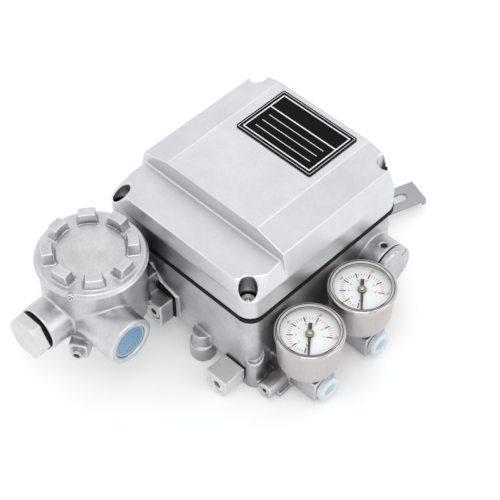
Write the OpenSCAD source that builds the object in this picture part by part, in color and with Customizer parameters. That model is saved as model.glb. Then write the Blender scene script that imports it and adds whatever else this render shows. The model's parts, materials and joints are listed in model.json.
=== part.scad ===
// Electro-pneumatic valve positioner for a linear valve, lying on its mounting feet with the cover up.
// The origin is the centre of the four mounting feet, on the mounting plane.
// +X points to the pressure gauges, +Y to the feedback lever and +Z out of the cover. Millimetres.

/* [Base casting] */
// Clear height between the mounting plane and the floor of the base
floor_gap = 13; // [12:0.5:18]
// Height of the base from the underside of its floor to the gasket
base_h = 47.6; // [44:0.2:60]
// Wall thickness of the base
base_wall = 4.5; // [3.5:0.1:6]
// Floor thickness of the base
floor_t = 5; // [4:0.1:7]
// Outer corner radius of the base
base_corner_r = 9; // [7:0.1:11]
// How far the base stands back from the outline of the cover
base_inset = 1.2; // [0.6:0.1:2.5]

/* [Cover] */
// Width of the cover along X
cover_x = 120; // [116:0.5:130]
// Length of the cover along Y
cover_y = 128; // [124:0.5:140]
// Corner radius of the cover flange
cover_corner_r = 9.5; // [8:0.1:12]
// Wall thickness of the cover
cover_wall = 3.5; // [2.5:0.1:4.5]
// Height of the cover flange above the gasket
flange_h = 15.5; // [13:0.1:18]
// How far the cover's walls lean in above the flange
wall_lean = 3.5; // [2:0.1:5]
// How far the apron's side walls lean in
apron_lean = 5; // [3:0.1:6]
// Height of the apron at its front edge, above the gasket
apron_front_h = 23.9; // [20:0.1:25]
// Height of the apron at the foot of the step, above the gasket
apron_rear_h = 26.9; // [25.5:0.1:29]
// Length of the apron along Y
apron_len = 25.8; // [20:0.1:32]
// Height of the shoulders beside the top panel, above the gasket
shoulder_h = 33.6; // [31:0.1:36]
// Height of the top panel above the gasket
panel_h = 39.65; // [37:0.05:44]
// Width of the flat top panel
panel_w = 72.8; // [66:0.2:84]

/* [Gasket and cover screws] */
// Thickness of the cover gasket
gasket_t = 3; // [1.5:0.1:3.5]
// How far the gasket stands back from the outline of the cover
gasket_inset = 0.3; // [0.1:0.1:1.1]
// Distance of the cover screws from the cover's sides
screw_inset_x = 8.4; // [8:0.1:10]
// Distance of the cover screws from the cover's front and rear
screw_inset_y = 6.5; // [6.4:0.1:10]
// Radius of a cover screw's shank
screw_r = 2.45; // [2:0.05:2.6]
// Radius of a cover screw's head
screw_head_r = 4.2; // [3.8:0.1:4.6]
// Height of a cover screw's head
screw_head_h = 4.6; // [3:0.1:5]
// Length of a cover screw's shank
screw_len = 22; // [16:0.5:28]
// Radius of the scoop that each cover screw sits in
scoop_r = 5.3; // [5:0.1:5.6]
// Height of a scoop's floor above the gasket
scoop_floor_h = 5.5; // [4:0.1:9]

/* [Name plate] */
// Width of the name plate along X
plate_x = 59.5; // [50:0.5:66]
// Length of the name plate along Y
plate_y = 41.8; // [34:0.2:46]
// Thickness of the name plate
plate_t = 0.8; // [0.5:0.1:1.2]
// Place of the name plate's centre along X
plate_cx = 1.2; // [-3:0.1:3]
// Gap between the name plate and the rear edge of the top panel
plate_rear_gap = 4.4; // [3:0.1:10]

/* [Mounting feet] */
// Distance between the feet along X
foot_span_x = 111; // [108:0.5:112]
// Distance between the feet along Y
foot_span_y = 113; // [110:0.5:116]
// Radius of a foot
foot_r = 6.2; // [5.8:0.1:7]
// Height of a foot
foot_h = 27.5; // [20:0.5:32]
// Radius of the tapped hole in a foot, for an M8 bolt
foot_hole_r = 3.4; // [3:0.05:3.6]
// Depth of the tapped hole in a foot
foot_hole_depth = 14; // [10:0.5:16]
// Radius of the scoop in the top of a foot
foot_scoop_r = 5.7; // [4:0.1:5.8]

/* [Stepped boss] */
// Place of the stepped boss along X
boss_x = 19; // [16:0.5:24]
// Radius of the lower part of the stepped boss
boss_low_r = 8; // [7:0.1:9]
// Height of the lower part of the stepped boss
boss_low_h = 11.5; // [7:0.5:12.5]
// Radius of the upper part of the stepped boss
boss_up_r = 6.2; // [5:0.1:6.8]
// Height of the whole stepped boss
boss_h = 21; // [15:0.5:26]

/* [Air manifold] */
// Place of the supply port along Y
supply_y = -37; // [-39:0.5:-35]
// Distance from the supply port to the outlet port
port_pitch = 45; // [43:0.5:48]
// Height of the port axis above the mounting plane
port_z = 11.5; // [10.5:0.1:12]
// Width of a port block
port_w = 17; // [16.4:0.1:19]
// Height of a port block
port_block_h = 16; // [15.6:0.1:18]
// How far a port block reaches out from the base
port_reach = 35.2; // [33:0.1:38]
// How far the manifold ledge reaches out from the base
manifold_reach = 15.2; // [13.5:0.1:16]
// Radius of an air port
port_r = 6.3; // [5.8:0.05:6.5]
// Depth of an air port
port_depth = 15; // [12:0.5:16]
// Radius of the cap of a port's dust plug
port_cap_r = 7.8; // [7:0.1:8]
// Length of the cap of a port's dust plug
port_cap_len = 4.5; // [3:0.1:5]
// Radius of the air gallery that closes with a plug
gallery_r = 5.4; // [4.8:0.1:5.8]
// Length of the gallery in front of the supply port block
gallery_len = 16.5; // [14:0.5:18]
// Height of the gallery axis above the mounting plane
gallery_z = 6.6; // [6.2:0.1:8]
// Radius of the gallery plug
gallery_plug_r = 3.2; // [2.5:0.1:3.6]

/* [Second outlet block] */
// Width of the second outlet block along X
out2_w = 16; // [14:0.1:17]
// Length of the second outlet block along Y
out2_len = 15.6; // [13:0.1:18]
// Height of the second outlet block
out2_h = 16; // [14:0.1:17]
// Height of the second outlet block's underside above the mounting plane
out2_z = 0.6; // [0.4:0.1:1.5]
// Place of the second outlet block's centre along X
out2_x = 46.6; // [44:0.1:47]
// Radius of the block's threaded spigot
spigot_r = 4; // [3:0.1:4.2]
// Length of the block's threaded spigot
spigot_len = 9; // [6:0.5:10]
// Thickness of the seal behind the block
out2_seal_t = 1; // [0.6:0.1:1.5]
// Radius of the plug in the second outlet
out2_plug_r = 5.4; // [4.5:0.1:6]
// Depth of the plug's hole
out2_plug_depth = 9; // [7:0.5:10]

/* [Pilot valve boss] */
// Place of the pilot valve's axis along Y
pilot_y = 42.5; // [42.5:0.5:44]
// Height of the pilot valve's axis above the floor underside
pilot_up = 21.5; // [19.5:0.5:24]
// Outer radius of the pilot valve's boss
pilot_boss_r = 15; // [13.5:0.1:15]
// How far the boss reaches out from the base
pilot_reach = 13; // [11:0.5:16]
// Thickness of the pilot valve's cap
pilot_cap_t = 4.2; // [3.5:0.1:5]
// Thickness of the pilot cap's seal
pilot_seal_t = 0.8; // [0.5:0.1:1.2]
// Outer radius of the pilot valve's sleeve
sleeve_r = 8.6; // [7:0.1:9]
// Length of the pilot valve's sleeve
sleeve_len = 36; // [32:0.5:40]
// Radius of the pilot spool
spool_r = 5; // [4:0.1:5.5]
// Length of the pilot spool
spool_len = 26; // [22:0.5:28]
// Radius of the vent hole
vent_r = 2.1; // [1.5:0.1:2.5]
// Distance of the vent hole from the end of the pilot boss
vent_back = 4.3; // [3:0.1:8]

/* [Pressure gauges] */
// Distance of the gauge axes from the base
gauge_out = 21.8; // [21.6:0.1:23]
// Radius of a gauge's bezel
bezel_r = 20.7; // [19:0.1:21]
// Height of a gauge's bezel
bezel_h = 3.6; // [3.4:0.1:5]
// Height of the bezel's top above the port block
gauge_up = 33.5; // [31:0.5:36]
// Radius of a gauge case at the bezel
case_r = 19.6; // [19.2:0.1:19.8]
// Radius of a gauge case at its back
case_back_r = 18.4; // [15:0.1:18.6]
// Height of a gauge case below the bezel
case_h = 25.9; // [22:0.1:26.4]
// Thickness of a gauge case's wall
case_wall = 1; // [0.6:0.1:1.5]
// Radius of a gauge's threaded stem
stem_r = 4.8; // [4:0.1:5]
// Radius of the visible part of a gauge's dial
dial_r = 17.8; // [16:0.1:18]
// How far a gauge's dial sits below its bezel
dial_sink = 1.9; // [1.7:0.1:2.4]
// Length of a gauge's pointer
pointer_len = 15.5; // [12:0.5:16]
// Thickness of a gauge's window
lens_t = 1.5; // [1:0.1:2]

/* [Terminal box] */
// Place of the terminal box's axis along X
box_x = -32.7; // [-34:0.1:-31]
// Gap between the base and the terminal box
box_gap = 5.2; // [5:0.1:7]
// Outer radius of the terminal box
box_r = 31; // [29.5:0.1:31.5]
// Wall thickness of the terminal box
box_wall = 4; // [3:0.1:5]
// Height of the terminal box's underside above the mounting plane
box_z = 29; // [27.5:0.5:31]
// Height of the terminal box without its cap
box_h = 47.7; // [46:0.1:50]
// Length of the cap's threaded spigot
cap_spigot_len = 7; // [6.5:0.1:8]
// Wall thickness of the cap's spigot
cap_spigot_wall = 3; // [2:0.1:4]
// Outer radius of the cap
cap_r = 33; // [32.4:0.1:33.5]
// Height of the cap's rim
cap_rim_h = 3.5; // [3:0.1:4.5]
// Height of the middle disc above the rim
cap_disc_h = 1.4; // [0.8:0.1:2]
// Number of lugs on the cap
lug_count = 8; // [6:1:10]
// Width of a lug on the cap
lug_w = 13; // [11:0.1:14]
// Width of a lug at its top
lug_top_w = 9.6; // [7:0.1:11]
// Radial length of a lug
lug_len = 6.5; // [5:0.1:8]
// Radius of the cap's middle disc
cap_disc_r = 20.8; // [19:0.1:21.5]
// Height of the lugs above the rim
lug_h = 7.5; // [3:0.1:8.5]
// Thickness of the cap's O-ring
cap_ring_t = 1.5; // [1.2:0.1:1.6]

/* [Conduit entries] */
// Radius of a conduit thread
conduit_r = 10.4; // [9.5:0.1:10.6]
// Radius of a conduit's mouth
mouth_r = 11; // [10.8:0.1:12.4]
// Height of the conduit axes above the mounting plane
conduit_z = 49.5; // [49:0.5:52]
// Outer radius of the side conduit entry
side_entry_r = 15.2; // [14:0.1:15.5]
// Distance of the side conduit's end from the terminal box's axis
side_entry_len = 45; // [42:0.5:48]
// How far the side conduit's axis stands in front of the terminal box's axis
side_entry_off = 13; // [11:0.5:14]
// Outer radius of the front conduit entry
front_entry_r = 14; // [13:0.1:14.5]
// Distance of the front conduit's end from the terminal box's axis
front_entry_len = 44; // [41:0.5:47]
// Width across the flats of the blind plug
blind_flats = 25; // [23:0.5:27]
// Height of the blind plug's head
blind_head_h = 7; // [5:0.5:9]
// Thickness of the blind plug's O-ring
blind_ring_t = 2.4; // [2:0.1:3]

/* [Terminal box neck] */
// Place of the neck's middle along X
neck_x = -28; // [-29:0.5:-27]
// Width of the neck's pad
neck_w = 54; // [50:0.5:55]
// Height of the neck pad's underside above the mounting plane
neck_z = 18; // [15:0.5:19]
// Height of the neck block
neck_h = 17.5; // [15:0.5:19]
// Height of the neck pad at its middle
neck_pad_h = 32; // [29:0.5:34]
// Thickness of the neck pad
neck_pad_t = 2.2; // [1.5:0.1:3]
// Thickness of the neck gasket
neck_seal_t = 0.8; // [0.5:0.1:1.2]
// Length of the neck block along Y
neck_len = 11; // [9:0.5:12]
// Distance between the neck bolts
neck_bolt_span = 39; // [36:0.5:40]
// Radius of a neck bolt
neck_bolt_r = 2.95; // [2.5:0.05:3]

/* [Feedback lever] */
// Place of the feedback shaft along Y
shaft_y = 26; // [24:0.5:30]
// Radius of the feedback shaft
shaft_r = 5; // [4.5:0.1:5.5]
// Length of the feedback shaft above the lever
shaft_len = 43.3; // [38:0.1:45]
// Radius of the shaft's threaded end
shaft_end_r = 4; // [3.5:0.1:4.2]
// Distance from the shaft to the lever's tip
lever_len = 102; // [90:0.5:120]
// Width of the lever
lever_w = 17.8; // [16:0.1:20]
// Thickness of the lever
lever_t = 2.5; // [2:0.1:3]
// Height of the lever's underside above the mounting plane
lever_z = 6.2; // [6:0.1:8]
// Angle of the lever from +Y towards +X, as stored
lever_angle = 18.25; // [0:0.25:28]
// Width of the lever's slot
slot_w = 6.4; // [5.5:0.1:7]
// Distance from the shaft to the start of the slot
slot_start = 30; // [24:0.5:36]
// Solid length between the slot and the tip
slot_end_gap = 10; // [8:0.5:14]
// Outer radius of the shaft's bush
bush_r = 8; // [7.5:0.1:9]

/* [Inside] */
// Place of the torque motor along X
motor_x = -32; // [-34:0.5:-30]
// Place of the torque motor along Y
motor_y = -30; // [-33:0.5:-27]
// Radius of the coil
coil_r = 10; // [8:0.5:11]
// Height of the coil
coil_h = 20; // [18:0.5:22]
// Length of the flapper beam on the coil's side of its pivot
beam_coil_len = 30; // [27:0.5:33]
// Length of the flapper beam on the nozzle's side of its pivot
beam_nozzle_len = 24; // [22:0.5:26]
// Width of the flapper beam
beam_w = 6; // [5:0.5:7]
// Thickness of the flapper beam
beam_t = 3; // [2.5:0.1:4]
// Radius of the two adjusting wheels
wheel_r = 8; // [6:0.5:9]
// Thickness of the two adjusting wheels
wheel_t = 6; // [4:0.5:8]

/* [Clearances] */
// Radial clearance of a shaft that turns in a bore
running = 0.04; // [0.02:0.01:0.08]
// Gap between fixed pieces that fit into each other
fixed_gap = 0.05; // [0.03:0.01:0.1]
// Gap between pieces that move past each other
moving_gap = 0.35; // [0.3:0.05:0.5]

/* [Hidden] */
$fn = 64;
// Small overlap that lets cuts run past the faces they open
over = 1;
// Wall of the shaft's boss in the floor of the base
shaft_boss_wall = 3.5;
shaft_boss_r = bush_r + shaft_boss_wall;
// Share of a plug's radius that its hexagon key takes
key_share = 0.54;
// Heights
floor_top = floor_gap + floor_t;
gasket_z = floor_gap + base_h;
cover_z = gasket_z + gasket_t;
// Base outline
base_x = cover_x - 2 * base_inset;
base_y = cover_y - 2 * base_inset;
wall_x = base_x / 2;
wall_y = base_y / 2;
cavity_x = base_x - 2 * base_wall;
cavity_y = base_y - 2 * base_wall;
// Cover outline
block_y = cover_y - 2 * wall_lean;
step_y = -block_y / 2 + apron_len;
screw_x = cover_x / 2 - screw_inset_x;
screw_y = cover_y / 2 - screw_inset_y;
screw_play = 0.4;
screw_hole_r = screw_r + screw_play;
// Gap between a screw column and the side of the base
column_gap = 0.4;
column_r = screw_inset_x - base_inset - column_gap;
// Air side
gauge_x = wall_x + gauge_out;
outlet_y = supply_y + port_pitch;
port_end_x = wall_x + port_reach;
block_low_z = port_z - port_block_h / 2;
block_top_z = port_z + port_block_h / 2;
manifold_x = wall_x + manifold_reach;
gallery_x = manifold_x - gallery_r;
gallery_end_y = supply_y - port_w / 2 - gallery_len;
gallery_depth = 10;
pilot_z = floor_gap + pilot_up;
pilot_end_x = wall_x + pilot_reach;
pilot_screw_r = 1.5;
pilot_head_rim = 1;
pilot_head_r = pilot_screw_r + pilot_head_rim;
pilot_sink = 1.6;
pilot_thread = 8;
pilot_screw_ring = (sleeve_r + pilot_boss_r) / 2;
bezel_top = block_top_z + gauge_up;
bezel_low = bezel_top - bezel_h;
case_low = bezel_low - case_h;
// Gauge layers, from the window down
bezel_lip = 0.8;
bezel_wall = 0.6;
bezel_bore_r = dial_r + bezel_wall;
lens_top = bezel_top - bezel_lip - fixed_gap;
lens_low = lens_top - lens_t;
dial_t = 0.8;
dial_low = bezel_low - dial_sink;
pointer_z = dial_low + dial_t + moving_gap;
pointer_t = 0.6;
pointer_rest = -50;
arbor_r = 1;
arbor_len = 4;
movement_h = 9;
stem_rise = 2;
stem_top = case_low + case_wall + stem_rise;
// Second outlet
out2_rear_y = -wall_y - out2_seal_t;
out2_front_y = out2_rear_y - out2_len;
out2_mid_z = out2_z + out2_h / 2;
out2_pad_end = 0.5;
out2_pad_len = spigot_len + base_wall + out2_pad_end;
// The spigot stands off the block's middle
spigot_off = 1;
spigot_x = out2_x - spigot_off;
// Terminal box
box_out = box_r + box_gap;
box_y = -wall_y - box_out;
box_top = box_z + box_h;
box_bore_r = box_r - box_wall;
box_bore_depth = cap_spigot_len + over;
cap_low = box_top + moving_gap;
cap_rim_top = cap_low + cap_rim_h;
cap_top = cap_rim_top + lug_h;
cap_spigot_r = box_bore_r - moving_gap;
cap_ring_r = cap_spigot_r + cap_ring_t / 2 + fixed_gap;
cap_ring_seat_r = cap_ring_r + cap_ring_t / 2 + moving_gap;
lock_screw_angle = -62;
lock_screw_r = 1.5;
lock_screw_len = 2.8;
lock_boss_out = 0.6;
lock_boss_len = 2.2;
lug_turn = 8;
side_end_x = box_x + side_entry_len;
side_y = box_y - side_entry_off;
mouth_depth = 2.6;
front_end_y = box_y - front_entry_len;
neck_face_y = -wall_y - neck_pad_t;
neck_rear_y = neck_face_y - neck_seal_t;
neck_front_y = neck_rear_y - neck_len;
neck_bolt_z = neck_z + neck_h / 2;
wire_r = 6;
wire_edge = 4;
wire_z = neck_z + neck_pad_h - wire_r - wire_edge;
neck_head_r = 4.8;
neck_head_h = 5.5;
neck_bolt_short = 0.5;
neck_shank_len = neck_len - neck_head_h + neck_seal_t + neck_pad_t + base_wall - neck_bolt_short;
terminal_h = 12;
terminal_top = box_z + box_wall + terminal_h;
terminal_pitch = 7;
terminal_screw_r = 1.5;
terminal_depth = 8;
earth_angle = -59;
earth_reach = 6;
earth_r = box_r + earth_reach;
earth_screw_r = 2;
earth_head_r = 3.5;
earth_washer_t = 0.8;
earth_half_w = 5.5;
earth_depth = 8.5;
// Feedback
lever_top = lever_z + lever_t;
washer_t = 1.2;
washer_r = 8;
nut_t = 3.4;
nut_flats = 13;
nut_r = nut_flats / 2 / cos(30);
lever_gap = 0.5;
bush_low = lever_top + lever_gap;
bush_len = 20;
bush_top = bush_low + bush_len;
bush_proud = 0.3;
arm_low = bush_top + moving_gap;
arm_t = 8;
arm_len = 34;
arm_w = 10;
// Inside
motor_plate_t = 5;
core_r = 4;
motor_top = floor_top + motor_plate_t;
coil_air_gap = 2;
beam_low = motor_top + coil_h + coil_air_gap;
beam_overhang = 8;
pivot_x = motor_x + beam_coil_len - beam_overhang;
pivot_r = 1.5;
nozzle_back = 4;
nozzle_x = pivot_x + beam_nozzle_len - nozzle_back;
nozzle_r = 3;
ear_t = 4;
ear_gap = beam_w / 2 + moving_gap;
wheel_x = 38;
zero_y = -30;
span_y = -8;
stud_r = 2.5;
stud_h = 14;

// Shapes that repeat

module rounded_rect(x, y, r) {
  square([x - 2 * r, y], center = true);
  square([x, y - 2 * r], center = true);
  for (sx = [-1, 1], sy = [-1, 1])
    translate([sx * (x / 2 - r), sy * (y / 2 - r)]) circle(r);
}

module at_corners(x, y) {
  for (sx = [-1, 1], sy = [-1, 1]) translate([sx * x, sy * y, 0]) children();
}

module block(low, high) {
  translate(low) cube([high[0] - low[0], high[1] - low[1], high[2] - low[2]]);
}

module tube(outer, inner, h) {
  difference() {
    cylinder(r = outer, h = h);
    translate([0, 0, -over]) cylinder(r = inner, h = h + 2 * over);
  }
}

// A child's +Z turned to +X, to -X or to -Y
module along_x() { rotate([0, 90, 0]) children(); }
module along_minus_x() { rotate([0, -90, 0]) children(); }
module along_minus_y() { rotate([90, 0, 0]) children(); }

module ring_seal(middle_r, thickness) {
  rotate_extrude() translate([middle_r, 0]) circle(thickness / 2, $fn = 32);
}

// Screw along -Z under a flat head that sits on the XY plane, with a driver slot
module slotted_screw(head_r, head_h, shank_r, shank_len, slot) {
  slot_floor = 0.45 * head_h;
  root = 0.2 * head_h;
  difference() {
    cylinder(r = head_r, h = head_h);
    translate([-head_r - over, -slot / 2, slot_floor]) cube([2 * (head_r + over), slot, head_h]);
  }
  translate([0, 0, -shank_len]) cylinder(r = shank_r, h = shank_len + root);
}

// Screw along -Z under a round head with a hexagon socket
module socket_screw(head_r, head_h, shank_r, shank_len) {
  socket_floor = 0.4 * head_h;
  root = 0.2 * head_h;
  difference() {
    cylinder(r = head_r, h = head_h);
    translate([0, 0, socket_floor]) cylinder(r = head_r * key_share, h = head_h, $fn = 6);
  }
  translate([0, 0, -shank_len]) cylinder(r = shank_r, h = shank_len + root);
}

// Base

// The four feet, each with a scooped top that looks out of its corner
module feet() {
  scoop_up = 0.6;
  for (sx = [-1, 1], sy = [-1, 1]) translate([sx * foot_span_x / 2, sy * foot_span_y / 2, 0]) difference() {
    cylinder(r = foot_r, h = foot_h);
    translate([0, 0, foot_h + scoop_up])
      rotate([90, 0, -sx * sy * 45]) cylinder(r = foot_scoop_r, h = 4 * foot_r, center = true);
  }
}

module neck_outline() {
  low_w = neck_w / 2;
  mid_w = neck_w / 4;
  top_w = neck_w / 9;
  mid_h = neck_h + 4;
  polygon([[-low_w, 0], [low_w, 0], [low_w, neck_h], [mid_w, mid_h],
    [top_w, neck_pad_h], [-top_w, neck_pad_h], [-mid_w, mid_h], [-low_w, neck_h]]);
}

module manifold() {
  root_x = wall_x - base_wall;
  web_back = 2;
  ledge_back = 6;
  ledge_out = 2;
  ledge_t = 3;
  block([root_x, supply_y - port_w / 2, block_low_z], [manifold_x, outlet_y + port_w / 2, block_top_z]);
  for (y = [supply_y, outlet_y])
    block([root_x, y - port_w / 2, block_low_z], [port_end_x, y + port_w / 2, block_top_z]);
  translate([gallery_x, supply_y, gallery_z]) along_minus_y()
    cylinder(r = gallery_r, h = supply_y - gallery_end_y);
  block([root_x, gallery_end_y + web_back, gallery_z - gallery_r], [gallery_x, supply_y, gallery_z]);
  block([gallery_x, gallery_end_y + ledge_back, gallery_z - gallery_r],
    [gallery_x + gallery_r + ledge_out, supply_y, gallery_z - gallery_r + ledge_t]);
}

module base_housing() {
  color("silver") difference() {
    union() {
      difference() {
        translate([0, 0, floor_gap]) linear_extrude(base_h) rounded_rect(base_x, base_y, base_corner_r);
        difference() {
          translate([0, 0, floor_top]) linear_extrude(base_h)
            rounded_rect(cavity_x, cavity_y, base_corner_r - base_wall);
          at_corners(screw_x, screw_y) cylinder(r = column_r, h = gasket_z);
        }
      }
      feet();
      translate([boss_x, -wall_y, 0]) cylinder(r = boss_low_r, h = boss_low_h);
      translate([boss_x, -wall_y, 0]) cylinder(r = boss_up_r, h = boss_h);
      manifold();
      block([spigot_x - out2_w / 2, -wall_y, out2_z],
        [out2_x + out2_w / 2, -wall_y + out2_pad_len, floor_top]);
      translate([wall_x - base_wall, pilot_y, pilot_z]) along_x()
        cylinder(r = pilot_boss_r, h = pilot_reach + base_wall);
      translate([neck_x, neck_face_y, neck_z]) rotate([90, 0, 180]) linear_extrude(neck_pad_t + base_wall)
        neck_outline();
      translate([0, shaft_y, bush_low + bush_proud]) cylinder(r = shaft_boss_r, h = bush_len - bush_proud);
    }
    at_corners(foot_span_x / 2, foot_span_y / 2) translate([0, 0, -over])
      cylinder(r = foot_hole_r, h = foot_hole_depth + over);
    at_corners(screw_x, screw_y) translate([0, 0, cover_z + scoop_floor_h - screw_len - over])
      cylinder(r = screw_r + fixed_gap, h = screw_len + over);
    for (y = [supply_y, outlet_y]) {
      translate([port_end_x + over, y, port_z]) along_minus_x() cylinder(r = port_r, h = port_depth + over);
      translate([gauge_x, y, port_z]) cylinder(r = stem_r + fixed_gap, h = port_block_h);
    }
    translate([gallery_x, gallery_end_y + gallery_depth, gallery_z]) along_minus_y()
      cylinder(r = gallery_plug_r + fixed_gap, h = gallery_depth + over);
    translate([spigot_x, -wall_y + spigot_len, out2_mid_z]) along_minus_y()
      cylinder(r = spigot_r + fixed_gap, h = spigot_len + over);
    translate([pilot_end_x + over, pilot_y, pilot_z]) along_minus_x()
      cylinder(r = sleeve_r + fixed_gap, h = sleeve_len + 2 * over);
    translate([pilot_end_x - vent_back, pilot_y, pilot_z]) cylinder(r = vent_r, h = pilot_boss_r + over);
    translate([pilot_end_x, pilot_y, pilot_z]) pilot_screw_places()
      translate([0, 0, -pilot_thread]) cylinder(r = pilot_screw_r + fixed_gap, h = pilot_thread + over);
    for (s = [-1, 1]) translate([neck_x + s * neck_bolt_span / 2, -wall_y + base_wall + over, neck_bolt_z])
      along_minus_y() cylinder(r = neck_bolt_r + fixed_gap, h = base_wall + neck_pad_t + 2 * over);
    wire_way();
    translate([0, shaft_y, 0]) cylinder(r = bush_r, h = gasket_z);
  }
}

// Hole for the wires, from the base through the neck into the terminal box
module wire_way() {
  translate([neck_x, -wall_y + base_wall + over, wire_z]) along_minus_y()
    cylinder(r = wire_r, h = box_out + base_wall);
}

module pilot_screw_places() {
  for (a = [45 : 90 : 315]) along_x() rotate(a) translate([pilot_screw_ring, 0, 0]) children();
}

// Cover

// The cover above its flange: a panel with sloped shoulders, and a lower apron before it
module cover_block(inset, low) {
  edge_x = cover_x / 2 - inset;
  edge_y = cover_y / 2 - inset;
  shoulder_x = edge_x - wall_lean;
  apron_x = edge_x - apron_lean;
  lean_y = edge_y - wall_lean;
  step = step_y + inset;
  step_gap = 1;
  top = panel_h - inset;
  intersection() {
    translate([0, 0, low]) linear_extrude(top - low)
      rounded_rect(2 * edge_x, 2 * edge_y, cover_corner_r - inset / 2);
    union() {
      translate([0, edge_y, 0]) rotate([90, 0, 0]) linear_extrude(edge_y - step)
        polygon([[-edge_x, low], [edge_x, low], [edge_x, flange_h], [shoulder_x, shoulder_h - inset],
          [panel_w / 2, top], [-panel_w / 2, top], [-shoulder_x, shoulder_h - inset], [-edge_x, flange_h]]);
      translate([0, step + over, 0]) rotate([90, 0, 0]) linear_extrude(edge_y + step + over)
        polygon([[-edge_x, low], [edge_x, low], [edge_x, flange_h], [apron_x, apron_rear_h - inset],
          [-apron_x, apron_rear_h - inset], [-edge_x, flange_h]]);
    }
    translate([-edge_x, 0, 0]) rotate([90, 0, 90]) linear_extrude(2 * edge_x)
      polygon([[-edge_y, low], [edge_y, low], [edge_y, flange_h], [lean_y, top + over],
        [step - step_gap, top + over], [step - step_gap, apron_rear_h - inset],
        [-lean_y, apron_front_h - inset], [-edge_y, flange_h]]);
  }
}

// Facets that fall from the apron to the flange round the front screws
module front_facets() {
  facet_in = 3.6;
  half_w = 12;
  run = facet_in + scoop_r;
  drop = apron_front_h - flange_h;
  above = apron_rear_h - apron_front_h;
  for (sx = [-1, 1]) translate([sx * screw_x, -screw_y, 0]) rotate(sx > 0 ? -45 : -135)
    translate([0, half_w, 0]) rotate([90, 0, 0]) linear_extrude(2 * half_w)
      polygon([[-facet_in - above * run / drop, apron_front_h + above], [scoop_r, flange_h],
        [cover_x / 2, flange_h], [cover_x / 2, apron_front_h + above]]);
}

// Ways out of the rear scoops, level with the flange
module rear_ways() {
  half_w = scoop_r - 0.6;
  for (sx = [-1, 1]) translate([sx * screw_x, screw_y, flange_h]) rotate(sx > 0 ? 45 : 135)
    translate([0, -half_w, 0]) cube([cover_x / 2, 2 * half_w, panel_h]);
}

module cover() {
  scoop_wall = 0.6 * cover_wall;
  color("gainsboro") translate([0, 0, cover_z]) difference() {
    cover_block(0, 0);
    difference() {
      cover_block(cover_wall, -over);
      at_corners(screw_x, screw_y) translate([0, 0, -2 * over])
        cylinder(r = scoop_r + scoop_wall, h = panel_h + 2 * over);
    }
    front_facets();
    rear_ways();
    at_corners(screw_x, screw_y) translate([0, 0, scoop_floor_h]) cylinder(r = scoop_r, h = panel_h);
    at_corners(screw_x, screw_y) translate([0, 0, -over])
      cylinder(r = screw_hole_r, h = scoop_floor_h + 2 * over);
  }
}

module cover_gasket() {
  color("black") translate([0, 0, gasket_z]) difference() {
    linear_extrude(gasket_t)
      rounded_rect(cover_x - 2 * gasket_inset, cover_y - 2 * gasket_inset, cover_corner_r - gasket_inset);
    difference() {
      translate([0, 0, -over]) linear_extrude(gasket_t + 2 * over)
        rounded_rect(cavity_x, cavity_y, base_corner_r - base_wall);
      at_corners(screw_x, screw_y) translate([0, 0, -over]) cylinder(r = column_r, h = gasket_t + 2 * over);
    }
    at_corners(screw_x, screw_y) translate([0, 0, -over]) cylinder(r = screw_hole_r, h = gasket_t + 2 * over);
  }
}

module cover_screws() {
  color("dimgray") at_corners(screw_x, screw_y) translate([0, 0, cover_z + scoop_floor_h])
    socket_screw(screw_head_r, screw_head_h, screw_r, screw_len);
}

module name_plate() {
  plate_cy = block_y / 2 - plate_rear_gap - plate_y / 2;
  corner = 1.5;
  rim_w = 0.8;
  rim_h = 0.15;
  color("black") translate([plate_cx, plate_cy, cover_z + panel_h]) difference() {
    linear_extrude(plate_t) rounded_rect(plate_x, plate_y, corner);
    translate([0, 0, plate_t - rim_h]) linear_extrude(rim_h + over)
      rounded_rect(plate_x - 2 * rim_w, plate_y - 2 * rim_w, corner - rim_w);
  }
}

// Pilot valve

module pilot_cap_seal() {
  inset = 0.5;
  color("black") translate([pilot_end_x, pilot_y, pilot_z]) difference() {
    along_x() tube(pilot_boss_r - inset, sleeve_r, pilot_seal_t);
    pilot_screw_places() translate([0, 0, -over])
      cylinder(r = pilot_screw_r + fixed_gap, h = pilot_seal_t + 2 * over);
  }
}

module pilot_cap() {
  edge = 1;
  color("silver") translate([pilot_end_x + pilot_seal_t, pilot_y, pilot_z]) difference() {
    along_x() rotate_extrude() polygon([[0, 0], [pilot_boss_r, 0], [pilot_boss_r, pilot_cap_t - edge],
      [pilot_boss_r - edge, pilot_cap_t], [0, pilot_cap_t]]);
    pilot_screw_places() translate([0, 0, -over])
      cylinder(r = pilot_screw_r + fixed_gap, h = pilot_cap_t + 2 * over);
    pilot_screw_places() translate([0, 0, pilot_cap_t - pilot_sink])
      cylinder(r = pilot_head_r + fixed_gap, h = pilot_cap_t);
  }
}

module pilot_cap_screws() {
  head_h = pilot_sink - 0.2;
  slot = 0.7;
  grip = pilot_cap_t - pilot_sink + pilot_seal_t;
  color("dimgray") translate([pilot_end_x + grip, pilot_y, pilot_z])
    pilot_screw_places() slotted_screw(pilot_head_r, head_h, pilot_screw_r, grip + pilot_thread - over, slot);
}

module pilot_sleeve() {
  port_r = 1.5;
  first_port = 10;
  port_step = 8;
  color("lightgray") translate([pilot_end_x, pilot_y, pilot_z]) along_minus_x() difference() {
    tube(sleeve_r, spool_r + running, sleeve_len);
    for (i = [0 : 2]) translate([0, 0, first_port + i * port_step]) along_minus_y()
      cylinder(r = port_r, h = 2 * sleeve_r);
  }
}

module pilot_spool() {
  land = 4;
  groove = 1.6;
  end_gap = 3;
  color("gray") translate([pilot_end_x - end_gap, pilot_y, pilot_z]) along_minus_x() difference() {
    cylinder(r = spool_r, h = spool_len);
    for (z = [land : 2 * land : spool_len - land]) translate([0, 0, z])
      tube(spool_r + over, spool_r - groove, land);
  }
}

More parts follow.
